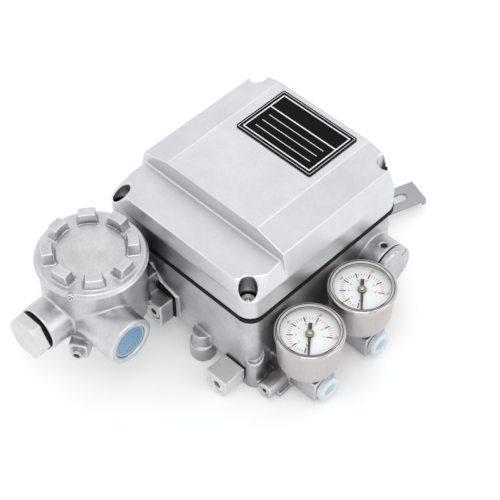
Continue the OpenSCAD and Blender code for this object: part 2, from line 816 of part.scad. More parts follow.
// Second outlet and plugs

// Flat above and round below
module outlet_outline(inset) {
  half_w = out2_w / 2 - inset;
  half_h = out2_h / 2 - inset;
  polygon(concat([[half_w, half_h], [-half_w, half_h]],
    [for (a = [180 : 22.5 : 360]) [half_w * cos(a), half_h * sin(a)]]));
}

module outlet_block() {
  spigot_wall = 1.6;
  color("gainsboro") difference() {
    union() {
      translate([out2_x, out2_rear_y, out2_mid_z]) along_minus_y() linear_extrude(out2_len)
        outlet_outline(0);
      translate([spigot_x, out2_rear_y + spigot_len, out2_mid_z]) along_minus_y()
        cylinder(r = spigot_r, h = spigot_len + over);
    }
    translate([out2_x, out2_front_y + out2_plug_depth, out2_mid_z]) along_minus_y()
      cylinder(r = out2_plug_r + fixed_gap, h = out2_plug_depth + over);
    translate([spigot_x, out2_rear_y + spigot_len + over, out2_mid_z]) along_minus_y()
      cylinder(r = spigot_r - spigot_wall, h = spigot_len + out2_len - out2_plug_depth + 2 * over);
  }
}

module outlet_block_seal() {
  inset = 0.3;
  color("black") translate([out2_x, -wall_y, out2_mid_z]) along_minus_y() difference() {
    linear_extrude(out2_seal_t) outlet_outline(inset);
    translate([-spigot_off, 0, -over]) cylinder(r = spigot_r + fixed_gap, h = out2_seal_t + 2 * over);
  }
}

module outlet_block_plug() {
  sunk = 0.8;
  key_r = out2_plug_r * key_share;
  key_depth = 5;
  color("gainsboro") translate([out2_x, out2_front_y, out2_mid_z]) along_minus_y() difference() {
    translate([0, 0, -out2_plug_depth]) cylinder(r = out2_plug_r, h = out2_plug_depth - sunk);
    translate([0, 0, -key_depth]) cylinder(r = key_r, h = key_depth + over, $fn = 6);
  }
}

module gallery_plug() {
  sunk = 0.6;
  key_r = gallery_plug_r * key_share;
  key_depth = 3.5;
  color("lightgray") translate([gallery_x, gallery_end_y, gallery_z]) along_minus_y() difference() {
    translate([0, 0, -gallery_depth + over]) cylinder(r = gallery_plug_r, h = gallery_depth - over - sunk);
    translate([0, 0, -key_depth]) cylinder(r = key_r, h = key_depth + over, $fn = 6);
  }
}

// Push-in plug with a round cap over the mouth of a port
module port_dust_plug(y) {
  depth = 7;
  edge = 1.2;
  dish_r = 5;
  dish = 1;
  translate([port_end_x, y, port_z]) along_x() {
    translate([0, 0, -depth]) cylinder(r = port_r - fixed_gap, h = depth + port_cap_len / 2);
    rotate_extrude() polygon([[0, 0], [port_cap_r, 0], [port_cap_r, port_cap_len - edge],
      [port_cap_r - edge, port_cap_len], [dish_r, port_cap_len], [dish_r - dish, port_cap_len - dish],
      [0, port_cap_len - dish]]);
  }
}

module supply_dust_plug() { color("lightblue") port_dust_plug(supply_y); }
module outlet_dust_plug() { color("lightblue") port_dust_plug(outlet_y); }

// Pressure gauges

module at_gauge(y) { translate([gauge_x, y, 0]) children(); }

module gauge_case() {
  round_r = 5;
  round_in = 0.3 * round_r;
  band = 4;
  inner_r = case_r - case_wall;
  color("lightgray") difference() {
    rotate_extrude() polygon([[0, case_low], [case_back_r - round_r, case_low],
      [case_back_r - round_in, case_low + round_in], [case_back_r, case_low + round_r],
      [case_r, bezel_low - band], [case_r, bezel_low], [0, bezel_low]]);
    rotate_extrude() polygon([[0, case_low + case_wall], [case_back_r - round_r, case_low + case_wall],
      [case_back_r - round_in - case_wall, case_low + round_in + case_wall],
      [case_back_r - case_wall, case_low + round_r + case_wall], [inner_r, bezel_low - band],
      [inner_r, bezel_low + over], [0, bezel_low + over]]);
    translate([0, 0, case_low - over]) cylinder(r = stem_r + fixed_gap, h = case_wall + 2 * over);
  }
}

module gauge_bezel() {
  lip_over = 0.4;
  lip_r = dial_r - lip_over;
  low_edge = 0.8;
  top_edge = 1.4;
  color("whitesmoke") rotate_extrude() polygon([[bezel_bore_r, bezel_low], [bezel_r - low_edge, bezel_low],
    [bezel_r, bezel_low + low_edge], [bezel_r, bezel_top - top_edge], [bezel_r - top_edge, bezel_top],
    [lip_r, bezel_top], [lip_r, bezel_top - bezel_lip], [bezel_bore_r, bezel_top - bezel_lip]]);
}

module gauge_window() {
  color("white", 0.3) translate([0, 0, lens_low]) cylinder(r = bezel_bore_r - fixed_gap, h = lens_t);
}

module gauge_dial() {
  arbor_play = 0.6;
  color("white") translate([0, 0, dial_low])
    tube(case_r - case_wall - fixed_gap, arbor_r + arbor_play, dial_t);
}

// The pointer rests below zero, and its blade runs through the hub
module gauge_pointer() {
  tail = 7.8;
  tail_half_w = 1.15;
  tip_half_w = 0.5;
  hub_r = 2.5;
  hub_h = 1.4;
  blade_low = 0.3;
  color("black") {
    translate([0, 0, pointer_z]) cylinder(r = hub_r, h = hub_h);
    translate([0, 0, dial_low - arbor_len])
      cylinder(r = arbor_r, h = pointer_z + blade_low - dial_low + arbor_len);
    rotate(pointer_rest) translate([0, 0, pointer_z + blade_low]) linear_extrude(pointer_t)
      polygon([[-tail, -tail_half_w], [pointer_len, -tip_half_w], [pointer_len, tip_half_w],
        [-tail, tail_half_w]]);
  }
}

// Brass movement that carries the pointer's arbor, on top of the stem
module gauge_movement() {
  movement_low = dial_low - movement_h;
  plate_r = 9;
  post_r = 4;
  end_play = 0.5;
  color("goldenrod") difference() {
    union() {
      translate([0, 0, movement_low]) cylinder(r = plate_r, h = movement_h - fixed_gap);
      translate([0, 0, stem_top]) cylinder(r = post_r, h = movement_low - stem_top);
    }
    translate([0, 0, dial_low - arbor_len - end_play]) cylinder(r = arbor_r + running, h = arbor_len + over);
  }
}

module gauge_stem() {
  hex_flats = 14;
  hex_r = hex_flats / 2 / cos(30);
  hex_up = 0.8;
  color("goldenrod") {
    translate([0, 0, port_z + over]) cylinder(r = stem_r, h = stem_top - port_z - over);
    translate([0, 0, block_top_z + hex_up])
      cylinder(r = hex_r, h = case_low - block_top_z - hex_up - fixed_gap, $fn = 6);
  }
}

module supply_gauge_case() { at_gauge(supply_y) gauge_case(); }
module supply_gauge_bezel() { at_gauge(supply_y) gauge_bezel(); }
module supply_gauge_window() { at_gauge(supply_y) gauge_window(); }
module supply_gauge_dial() { at_gauge(supply_y) gauge_dial(); }
module supply_gauge_pointer() { at_gauge(supply_y) gauge_pointer(); }
module supply_gauge_movement() { at_gauge(supply_y) gauge_movement(); }
module supply_gauge_stem() { at_gauge(supply_y) gauge_stem(); }
module outlet_gauge_case() { at_gauge(outlet_y) gauge_case(); }
module outlet_gauge_bezel() { at_gauge(outlet_y) gauge_bezel(); }
module outlet_gauge_window() { at_gauge(outlet_y) gauge_window(); }
module outlet_gauge_dial() { at_gauge(outlet_y) gauge_dial(); }
module outlet_gauge_pointer() { at_gauge(outlet_y) gauge_pointer(); }
module outlet_gauge_movement() { at_gauge(outlet_y) gauge_movement(); }
module outlet_gauge_stem() { at_gauge(outlet_y) gauge_stem(); }

// Terminal box

module at_box() { translate([box_x, box_y, 0]) children(); }

module neck_bolt_places() {
  for (s = [-1, 1]) translate([neck_x + s * neck_bolt_span / 2, neck_front_y + neck_head_h, neck_bolt_z])
    along_minus_y() children();
}

module terminal_housing() {
  taper = 7;
  pocket_play = 0.6;
  pocket = neck_head_r + pocket_play;
  neck_side = 1;
  neck_drop = 0.5;
  box_shelf = 2;
  color("gainsboro") difference() {
    union() {
      at_box() rotate_extrude() polygon([[0, box_z], [box_r - taper, box_z], [box_r, box_z + taper],
        [box_r, box_top], [0, box_top]]);
      translate([box_x, side_y, conduit_z]) along_x() cylinder(r = side_entry_r, h = side_entry_len);
      translate([box_x, box_y, conduit_z]) along_minus_y() cylinder(r = front_entry_r, h = front_entry_len);
      block([neck_x - neck_w / 2 + neck_side, neck_front_y, neck_z - neck_drop],
        [neck_x + neck_w / 2 - neck_side, neck_rear_y, neck_z + neck_h - neck_drop]);
      block([neck_x - neck_w / 4, box_y, box_z], [neck_x + neck_w / 4, neck_rear_y, neck_z + neck_pad_h]);
      at_box() rotate(earth_angle)
        block([box_r - taper, -earth_half_w, box_z], [earth_r, earth_half_w, box_z + 2 * earth_half_w]);
    }
    at_box() translate([0, 0, box_z + box_wall]) cylinder(r = box_bore_r - box_shelf, h = box_h);
    at_box() translate([0, 0, box_top - box_bore_depth]) cylinder(r = box_bore_r, h = box_bore_depth + over);
    at_box() translate([0, 0, box_top - cap_ring_t]) cylinder(r = cap_ring_seat_r, h = cap_ring_t + over);
    translate([box_x, side_y, conduit_z]) along_x() cylinder(r = conduit_r, h = side_entry_len + over);
    translate([side_end_x - mouth_depth, side_y, conduit_z]) along_x()
      cylinder(r = mouth_r, h = mouth_depth + over);
    translate([box_x, box_y, conduit_z]) along_minus_y() cylinder(r = conduit_r, h = front_entry_len + over);
    neck_bolt_places() cylinder(r = pocket, h = neck_head_h + over);
    neck_bolt_places() translate([0, 0, -neck_len])
      cylinder(r = neck_bolt_r + fixed_gap, h = neck_len + over);
    wire_way();
    at_box() rotate(earth_angle) translate([earth_r + over, 0, box_z + earth_half_w])
      along_minus_x() cylinder(r = earth_screw_r + fixed_gap, h = earth_depth + over);
  }
}

module neck_gasket() {
  bolt_play = 0.3;
  color("black") difference() {
    translate([neck_x, neck_rear_y, neck_z]) rotate([90, 0, 180]) linear_extrude(neck_seal_t) neck_outline();
    neck_bolt_places() translate([0, 0, -2 * neck_len])
      cylinder(r = neck_bolt_r + bolt_play, h = 3 * neck_len);
    wire_way();
  }
}

module neck_bolts() {
  sunk = 0.5;
  color("dimgray") neck_bolt_places()
    socket_screw(neck_head_r, neck_head_h - sunk, neck_bolt_r, neck_shank_len);
}

module at_lock_screw() {
  at_box() rotate(lock_screw_angle) translate([cap_r, 0, cap_low + cap_rim_h / 2]) along_minus_x() children();
}

module cap_lugs() {
  root = 1;
  low = cap_rim_top - root;
  disc_gap = 0.8;
  lug_in_r = cap_disc_r + disc_gap;
  for (i = [0 : lug_count - 1]) rotate(lug_turn + i * 360 / lug_count) intersection() {
    rotate([90, 0, 90]) linear_extrude(cap_r)
      polygon([[-lug_w / 2, low], [lug_w / 2, low], [lug_top_w / 2, cap_top], [-lug_top_w / 2, cap_top]]);
    translate([0, 0, low]) tube(lug_in_r + lug_len, lug_in_r, lug_h + root);
  }
}

module terminal_cap() {
  edge = 0.8;
  spigot_in_r = cap_spigot_r - cap_spigot_wall;
  spigot_low = cap_low - cap_spigot_len;
  rim_step_h = 0.45 * cap_rim_h;
  rim_step = 1;
  upper_r = cap_r - rim_step;
  lock_boss_wall = 0.9;
  lock_boss_r = lock_screw_r + lock_boss_wall;
  color("gainsboro") difference() {
    union() {
      at_box() {
        rotate_extrude() polygon([[0, cap_low], [spigot_in_r, cap_low], [spigot_in_r, spigot_low],
          [cap_spigot_r, spigot_low], [cap_spigot_r, cap_low], [cap_r, cap_low],
          [cap_r, cap_low + rim_step_h], [upper_r, cap_low + rim_step_h],
          [upper_r, cap_rim_top - edge], [upper_r - edge, cap_rim_top],
          [cap_disc_r, cap_rim_top], [cap_disc_r, cap_rim_top + cap_disc_h - edge],
          [cap_disc_r - edge, cap_rim_top + cap_disc_h], [0, cap_rim_top + cap_disc_h]]);
        cap_lugs();
      }
      at_lock_screw() translate([0, 0, -lock_boss_out]) cylinder(r = lock_boss_r, h = lock_boss_len);
    }
    at_lock_screw() translate([0, 0, -over])
      cylinder(r = lock_screw_r + fixed_gap, h = lock_screw_len + over);
  }
}

module terminal_cap_ring() {
  color("black") at_box() translate([0, 0, cap_low - cap_ring_t / 2])
    ring_seal(cap_ring_r, cap_ring_t - fixed_gap);
}

module terminal_cap_lock_screw() {
  key_r = lock_screw_r * key_share;
  key_depth = 1;
  tip_out = 0.4;
  proud = lock_boss_out + tip_out;
  color("dimgray") at_lock_screw() translate([0, 0, -proud]) difference() {
    cylinder(r = lock_screw_r, h = lock_screw_len + proud);
    translate([0, 0, -over]) cylinder(r = key_r, h = key_depth + over, $fn = 6);
  }
}

module terminal_block() {
  half_x = 15;
  half_y = 8;
  color("darkslategray") at_box() difference() {
    block([-half_x, -half_y, box_z + box_wall], [half_x, half_y, terminal_top]);
    terminal_places() translate([0, 0, -terminal_depth - over])
      cylinder(r = terminal_screw_r + fixed_gap, h = terminal_depth + 2 * over);
  }
}

module terminal_places() {
  for (i = [0 : 3]) translate([(i - 1.5) * terminal_pitch, 0, terminal_top]) children();
}

module terminal_screws() {
  head_r = 2.8;
  head_h = 1.8;
  slot = 0.8;
  color("silver") at_box() terminal_places()
    slotted_screw(head_r, head_h, terminal_screw_r, terminal_depth, slot);
}

module conduit_dust_plug() {
  flange_t = 1.2;
  depth = 9;
  color("steelblue") translate([side_end_x - mouth_depth, side_y, conduit_z]) along_x() {
    cylinder(r = mouth_r - fixed_gap, h = flange_t);
    translate([0, 0, -depth]) cylinder(r = conduit_r - fixed_gap, h = depth + flange_t / 2);
  }
}

module blind_plug() {
  thread_len = 14;
  face_h = 2;
  corner_cut = 1;
  color("gainsboro") translate([box_x, front_end_y - blind_ring_t, conduit_z]) along_minus_y() {
    difference() {
      cylinder(r = blind_flats / 2 / cos(30), h = blind_head_h, $fn = 6);
      translate([0, 0, blind_head_h - face_h]) tube(blind_flats, blind_flats / 2 + corner_cut, face_h + over);
    }
    translate([0, 0, -thread_len]) cylinder(r = conduit_r - fixed_gap, h = thread_len + over);
  }
}

module blind_plug_ring() {
  color("black") translate([box_x, front_end_y - blind_ring_t / 2, conduit_z]) along_minus_y()
    ring_seal(conduit_r + blind_ring_t / 2, blind_ring_t - fixed_gap);
}

module at_earth() {
  at_box() rotate(earth_angle) translate([earth_r, 0, box_z + earth_half_w]) along_x() children();
}

module earth_washer() {
  rim = 0.7;
  play = 0.2;
  color("silver") at_earth() tube(earth_head_r + rim, earth_screw_r + play, earth_washer_t);
}

module earth_screw() {
  head_h = 2.4;
  slot = 1;
  color("silver") at_earth() translate([0, 0, earth_washer_t])
    slotted_screw(earth_head_r, head_h, earth_screw_r, earth_depth, slot);
}

// Feedback lever

module at_shaft() { translate([0, shaft_y, 0]) children(); }

module feedback_shaft() {
  tip = 0.6;
  end_len = lever_t + washer_t + nut_t + tip;
  color("silver") at_shaft() {
    translate([0, 0, lever_top]) cylinder(r = shaft_r, h = shaft_len);
    translate([0, 0, lever_top - end_len]) cylinder(r = shaft_end_r, h = end_len);
  }
}

module shaft_bush() {
  color("peru") at_shaft() translate([0, 0, bush_low]) tube(bush_r - fixed_gap, shaft_r + running, bush_len);
}

module feedback_lever() {
  tab_w = 5;
  tab_h = 2.6;
  slot_end = lever_len - slot_end_gap - slot_w / 2;
  first = slot_start + slot_w / 2;
  color("gray") at_shaft() rotate(-lever_angle) translate([0, 0, lever_z]) difference() {
    union() {
      cylinder(r = lever_w / 2, h = lever_t);
      translate([-lever_w / 2, 0, 0]) cube([lever_w, lever_len, lever_t]);
      translate([lever_w / 2 - tab_w, lever_len - lever_t, -tab_h]) cube([tab_w, lever_t, tab_h + lever_t]);
    }
    translate([0, 0, -over]) cylinder(r = shaft_end_r + fixed_gap, h = lever_t + 2 * over);
    for (y = [first, slot_end]) translate([0, y, -over]) cylinder(r = slot_w / 2, h = lever_t + 2 * over);
    translate([-slot_w / 2, first, -over]) cube([slot_w, slot_end - first, lever_t + 2 * over]);
  }
}

module lever_washer() {
  color("silver") at_shaft() translate([0, 0, lever_z - washer_t])
    tube(washer_r, shaft_end_r + fixed_gap, washer_t);
}

module lever_nut() {
  color("silver") at_shaft() translate([0, 0, lever_z - washer_t - nut_t]) difference() {
    cylinder(r = nut_r, h = nut_t, $fn = 6);
    translate([0, 0, -over]) cylinder(r = shaft_end_r + fixed_gap, h = nut_t + 2 * over);
  }
}

module drive_arm() {
  hub_wall = 4;
  hub_r = shaft_r + hub_wall;
  pin_hole_r = 2;
  color("gray") at_shaft() rotate(-lever_angle) translate([0, 0, arm_low]) difference() {
    union() {
      cylinder(r = hub_r, h = arm_t);
      translate([-arm_w / 2, -arm_len, 0]) cube([arm_w, arm_len, arm_t / 2]);
      translate([0, -arm_len, 0]) cylinder(r = arm_w / 2, h = arm_t / 2);
    }
    translate([0, 0, -over]) cylinder(r = shaft_r + fixed_gap, h = arm_t + 2 * over);
    translate([0, -arm_len, -over]) cylinder(r = pin_hole_r, h = arm_t);
  }
}

// Torque motor, flapper and nozzle

module motor_frame() {
  half = 14;
  half_ear = 5;
  ear_rise = 3;
  ear_top = beam_low + beam_t + ear_rise;
  color("gray") difference() {
    union() {
      block([motor_x - half, motor_y - half, floor_top],
        [pivot_x + half_ear + over, motor_y + half, motor_top]);
      for (s = [-1, 1]) translate([0, motor_y + s * (ear_gap + ear_t / 2), 0])
        block([pivot_x - half_ear, -ear_t / 2, floor_top], [pivot_x + half_ear, ear_t / 2, ear_top]);
    }
    translate([pivot_x, motor_y + half, beam_low + beam_t / 2]) along_minus_y()
      cylinder(r = pivot_r + fixed_gap, h = 2 * half);
  }
}

module motor_core() {
  color("dimgray") translate([motor_x, motor_y, motor_top]) cylinder(r = core_r, h = coil_h + over);
}

module motor_coil() {
  color("peru") translate([motor_x, motor_y, motor_top]) tube(coil_r, core_r + fixed_gap, coil_h);
}

module flapper_pivot() {
  reach = ear_gap + ear_t;
  color("silver") translate([pivot_x, motor_y + reach, beam_low + beam_t / 2]) along_minus_y()
    cylinder(r = pivot_r, h = 2 * reach);
}

module flapper_beam() {
  eye_wall = 2;
  color("silver") difference() {
    union() {
      block([pivot_x - beam_coil_len, motor_y - beam_w / 2, beam_low],
        [pivot_x + beam_nozzle_len, motor_y + beam_w / 2, beam_low + beam_t]);
      translate([pivot_x, motor_y + beam_w / 2, beam_low + beam_t / 2]) along_minus_y()
        cylinder(r = pivot_r + eye_wall, h = beam_w);
    }
    translate([pivot_x, motor_y + beam_w, beam_low + beam_t / 2]) along_minus_y()
      cylinder(r = pivot_r + running, h = 2 * beam_w);
  }
}

module nozzle() {
  foot_h = 8;
  foot_rim = 2.5;
  beam_gap = 0.7;
  jet_r = 0.8;
  color("goldenrod") translate([nozzle_x, motor_y, floor_top]) difference() {
    union() {
      cylinder(r = nozzle_r + foot_rim, h = foot_h);
      cylinder(r = nozzle_r, h = beam_low - floor_top - beam_gap);
    }
    translate([0, 0, foot_h / 2]) cylinder(r = jet_r, h = beam_low);
  }
}

// Adjusting wheels

module stud() {
  shoulder = 2.5;
  tip = 2;
  color("silver") {
    translate([0, 0, floor_top]) cylinder(r = stud_r + shoulder, h = stud_h);
    translate([0, 0, floor_top + stud_h]) cylinder(r = stud_r, h = wheel_t + tip);
  }
}

module wheel() {
  grips = 12;
  grip_r = 1.1;
  grip_out = 0.4;
  color("whitesmoke") translate([0, 0, floor_top + stud_h + moving_gap]) difference() {
    cylinder(r = wheel_r, h = wheel_t);
    translate([0, 0, -over]) cylinder(r = stud_r + running, h = wheel_t + 2 * over);
    for (i = [0 : grips - 1]) rotate(i * 360 / grips) translate([wheel_r + grip_out, 0, -over])
      cylinder(r = grip_r, h = wheel_t + 2 * over);
  }
}

module zero_stud() { translate([wheel_x, zero_y, 0]) stud(); }
module zero_wheel() { translate([wheel_x, zero_y, 0]) wheel(); }
module span_stud() { translate([wheel_x, span_y, 0]) stud(); }
module span_wheel() { translate([wheel_x, span_y, 0]) wheel(); }

base_housing();
cover();
cover_gasket();
cover_screws();
name_plate();
pilot_cap();
pilot_cap_seal();
pilot_cap_screws();
pilot_sleeve();
pilot_spool();
outlet_block();
outlet_block_seal();
outlet_block_plug();
gallery_plug();
supply_dust_plug();
outlet_dust_plug();
supply_gauge_case();
supply_gauge_bezel();
supply_gauge_window();
supply_gauge_dial();
supply_gauge_pointer();
supply_gauge_movement();
supply_gauge_stem();
outlet_gauge_case();
outlet_gauge_bezel();
outlet_gauge_window();
outlet_gauge_dial();
outlet_gauge_pointer();
outlet_gauge_movement();
outlet_gauge_stem();
terminal_housing();
terminal_cap();
terminal_cap_ring();
terminal_cap_lock_screw();
neck_gasket();
neck_bolts();
terminal_block();
terminal_screws();
conduit_dust_plug();
blind_plug();
blind_plug_ring();
earth_screw();
earth_washer();
feedback_shaft();
shaft_bush();
feedback_lever();
lever_washer();
lever_nut();
drive_arm();
motor_frame();
motor_coil();
motor_core();
flapper_beam();
flapper_pivot();
nozzle();
zero_stud();
zero_wheel();
span_stud();
span_wheel();
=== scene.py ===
"""Looks of the valve positioner: materials, rounded castings, dial prints, light and camera."""

import json
import math

import bmesh
import bpy
from mathutils import Matrix, Vector


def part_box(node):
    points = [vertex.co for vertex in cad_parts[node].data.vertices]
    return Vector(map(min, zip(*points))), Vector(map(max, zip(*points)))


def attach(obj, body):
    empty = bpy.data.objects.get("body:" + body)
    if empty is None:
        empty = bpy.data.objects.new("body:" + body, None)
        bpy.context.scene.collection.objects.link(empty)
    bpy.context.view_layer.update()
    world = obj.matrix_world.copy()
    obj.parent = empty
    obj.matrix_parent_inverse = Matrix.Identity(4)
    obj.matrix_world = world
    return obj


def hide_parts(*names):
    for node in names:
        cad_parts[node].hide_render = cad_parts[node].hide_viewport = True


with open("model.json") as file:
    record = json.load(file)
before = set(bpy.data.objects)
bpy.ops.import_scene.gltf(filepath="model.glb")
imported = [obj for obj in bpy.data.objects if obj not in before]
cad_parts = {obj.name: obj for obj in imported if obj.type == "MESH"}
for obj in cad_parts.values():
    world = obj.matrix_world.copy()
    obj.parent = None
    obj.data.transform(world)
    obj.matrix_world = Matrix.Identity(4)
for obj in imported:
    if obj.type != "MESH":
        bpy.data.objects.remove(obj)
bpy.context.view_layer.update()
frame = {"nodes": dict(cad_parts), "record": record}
MM = 0.001
SIDES = ("supply", "outlet")
UP, OUT = (0, 0, 1), (1, 0, 0)
record = frame["record"]
cad = frame["nodes"]
body_of = {n: b for b, names in record["behaviour"]["bodies"].items() for n in names}
slot_of = {s["node"]: s["material_slot"] for s in record["subparts"]}
scene = bpy.context.scene
scene.view_settings.view_transform = "Standard"


# Materials

FINE_NOISE = {"Detail": 4.0, "Roughness": 0.6}
BROAD_NOISE = {"Detail": 3.0, "Roughness": 0.55}
FINE_RANGE, FINE_SHARE = (0.3, 0.7), 0.45      # range of the noise, and its share in the tone
BROAD_RANGE, BROAD_SHARE = (0.35, 0.65), 0.55
GRAIN_DEPTH = 0.05 * MM
PAINTED_HIGHLIGHT_EDGE, PAINTED_HIGHLIGHT_MOST = (0.51, 0.57), 0.75      # pointiness of an edge with a painted highlight, and the highlight's most share
PAINTED_SHADE_OPEN, PAINTED_SHADE_MOST = (0.1, 0.8), 0.72      # open sky over a recess, and the most share of painted shade in it
PAINTED_SHADE_REACH, PAINTED_SHADE_SAMPLES = 22 * MM, 8
WINDOW_ROUGH, WINDOW_GLOSS = (0.04, 0.14), 0.018
MIX_A, MIX_B, MIX_RESULT = 6, 7, 2             # colour sockets of the Mix node


def node_at(tree, kind, **values):
    """A new node with values for its sockets and settings."""
    made = tree.nodes.new(kind)
    for key, value in values.items():
        if key in made.inputs:
            made.inputs[key].default_value = value
        else:
            setattr(made, key, value)
    return made


def ramp(tree, source, span, low_value, high_value):
    """A value that runs from low to high while the source runs over a span."""
    made = node_at(tree, "ShaderNodeMapRange")
    tree.links.new(source, made.inputs["Value"])
    made.inputs["From Min"].default_value = span[0]
    made.inputs["From Max"].default_value = span[1]
    made.inputs["To Min"].default_value = low_value
    made.inputs["To Max"].default_value = high_value
    return made.outputs["Result"]


def mixed(tree, factor, a, b):
    """A mix of two colours, each a tuple or a socket."""
    made = node_at(tree, "ShaderNodeMix", data_type="RGBA")
    tree.links.new(factor, made.inputs["Factor"])
    for socket, value in ((made.inputs[MIX_A], a), (made.inputs[MIX_B], b)):
        if isinstance(value, tuple):
            socket.default_value = (*value, 1)
        else:
            tree.links.new(value, socket)
    return made.outputs[MIX_RESULT]


def surface(name, dark, light, rough, bump, metallic=0.0, grain=1200.0, blotch=40.0,
            stretch=(1, 1, 1), painted_highlight=None, painted_shade=None, specular=0.5):
    """A surface with two tones and fine grain in its bump and roughness.

    Where a colour is given for them, its edges get a painted highlight and its recesses painted
    shade.
    """
    mat = bpy.data.materials.new(name)
    mat.use_nodes = True
    tree = mat.node_tree
    shader = tree.nodes["Principled BSDF"]
    where = node_at(tree, "ShaderNodeTexCoord").outputs["Object"]
    mapping = node_at(tree, "ShaderNodeMapping", Scale=stretch)
    tree.links.new(where, mapping.inputs["Vector"])
    fine = node_at(tree, "ShaderNodeTexNoise", Scale=grain, **FINE_NOISE)
    broad = node_at(tree, "ShaderNodeTexNoise", Scale=blotch, **BROAD_NOISE)
    tree.links.new(mapping.outputs["Vector"], fine.inputs["Vector"])
    tree.links.new(where, broad.inputs["Vector"])
    blend = node_at(tree, "ShaderNodeMath", operation="ADD")
    fine_tone = ramp(tree, fine.outputs["Fac"], FINE_RANGE, 0, FINE_SHARE)
    broad_tone = ramp(tree, broad.outputs["Fac"], BROAD_RANGE, 0, BROAD_SHARE)
    tree.links.new(fine_tone, blend.inputs[0])
    tree.links.new(broad_tone, blend.inputs[1])
    colour = mixed(tree, blend.outputs[0], dark, light)
    # painted highlight: edges are lightened by their pointiness
    if painted_highlight:
        edge = node_at(tree, "ShaderNodeNewGeometry").outputs["Pointiness"]
        colour = mixed(tree, ramp(tree, edge, PAINTED_HIGHLIGHT_EDGE, 0, PAINTED_HIGHLIGHT_MOST), colour, painted_highlight)
    # painted shade: recesses are darkened by ambient occlusion
    if painted_shade:
        sky = node_at(tree, "ShaderNodeAmbientOcclusion", samples=PAINTED_SHADE_SAMPLES,
                      Distance=PAINTED_SHADE_REACH).outputs["AO"]
        colour = mixed(tree, ramp(tree, sky, PAINTED_SHADE_OPEN, PAINTED_SHADE_MOST, 0), colour, painted_shade)
    tree.links.new(colour, shader.inputs["Base Color"])
    gloss = ramp(tree, fine.outputs["Fac"], FINE_RANGE, *rough)
    tree.links.new(gloss, shader.inputs["Roughness"])
    shader.inputs["Metallic"].default_value = metallic
    shader.inputs["Specular IOR Level"].default_value = specular
    relief = node_at(tree, "ShaderNodeBump", Strength=bump, Distance=GRAIN_DEPTH)
    tree.links.new(fine.outputs["Fac"], relief.inputs["Height"])
    tree.links.new(relief.outputs["Normal"], shader.inputs["Normal"])
    return mat


def clear_window(name):
    """Clear plastic that lets the light through, with a faint uneven gloss."""
    mat = bpy.data.materials.new(name)
    mat.use_nodes = True
    tree = mat.node_tree
    tree.nodes.clear()
    out = node_at(tree, "ShaderNodeOutputMaterial")
    clear = node_at(tree, "ShaderNodeBsdfTransparent", Color=(0.995, 1, 0.998, 1))
    gloss = node_at(tree, "ShaderNodeBsdfGlossy", Color=(0.9, 0.95, 0.97, 1))
    smudge = node_at(tree, "ShaderNodeTexNoise", Scale=160.0, Detail=2.0)
    both = node_at(tree, "ShaderNodeMixShader", Fac=WINDOW_GLOSS)
    uneven = ramp(tree, smudge.outputs["Fac"], FINE_RANGE, *WINDOW_ROUGH)
    tree.links.new(uneven, gloss.inputs["Roughness"])
    tree.links.new(clear.outputs[0], both.inputs[1])
    tree.links.new(gloss.outputs[0], both.inputs[2])
    tree.links.new(both.outputs[0], out.inputs[0])
    return mat
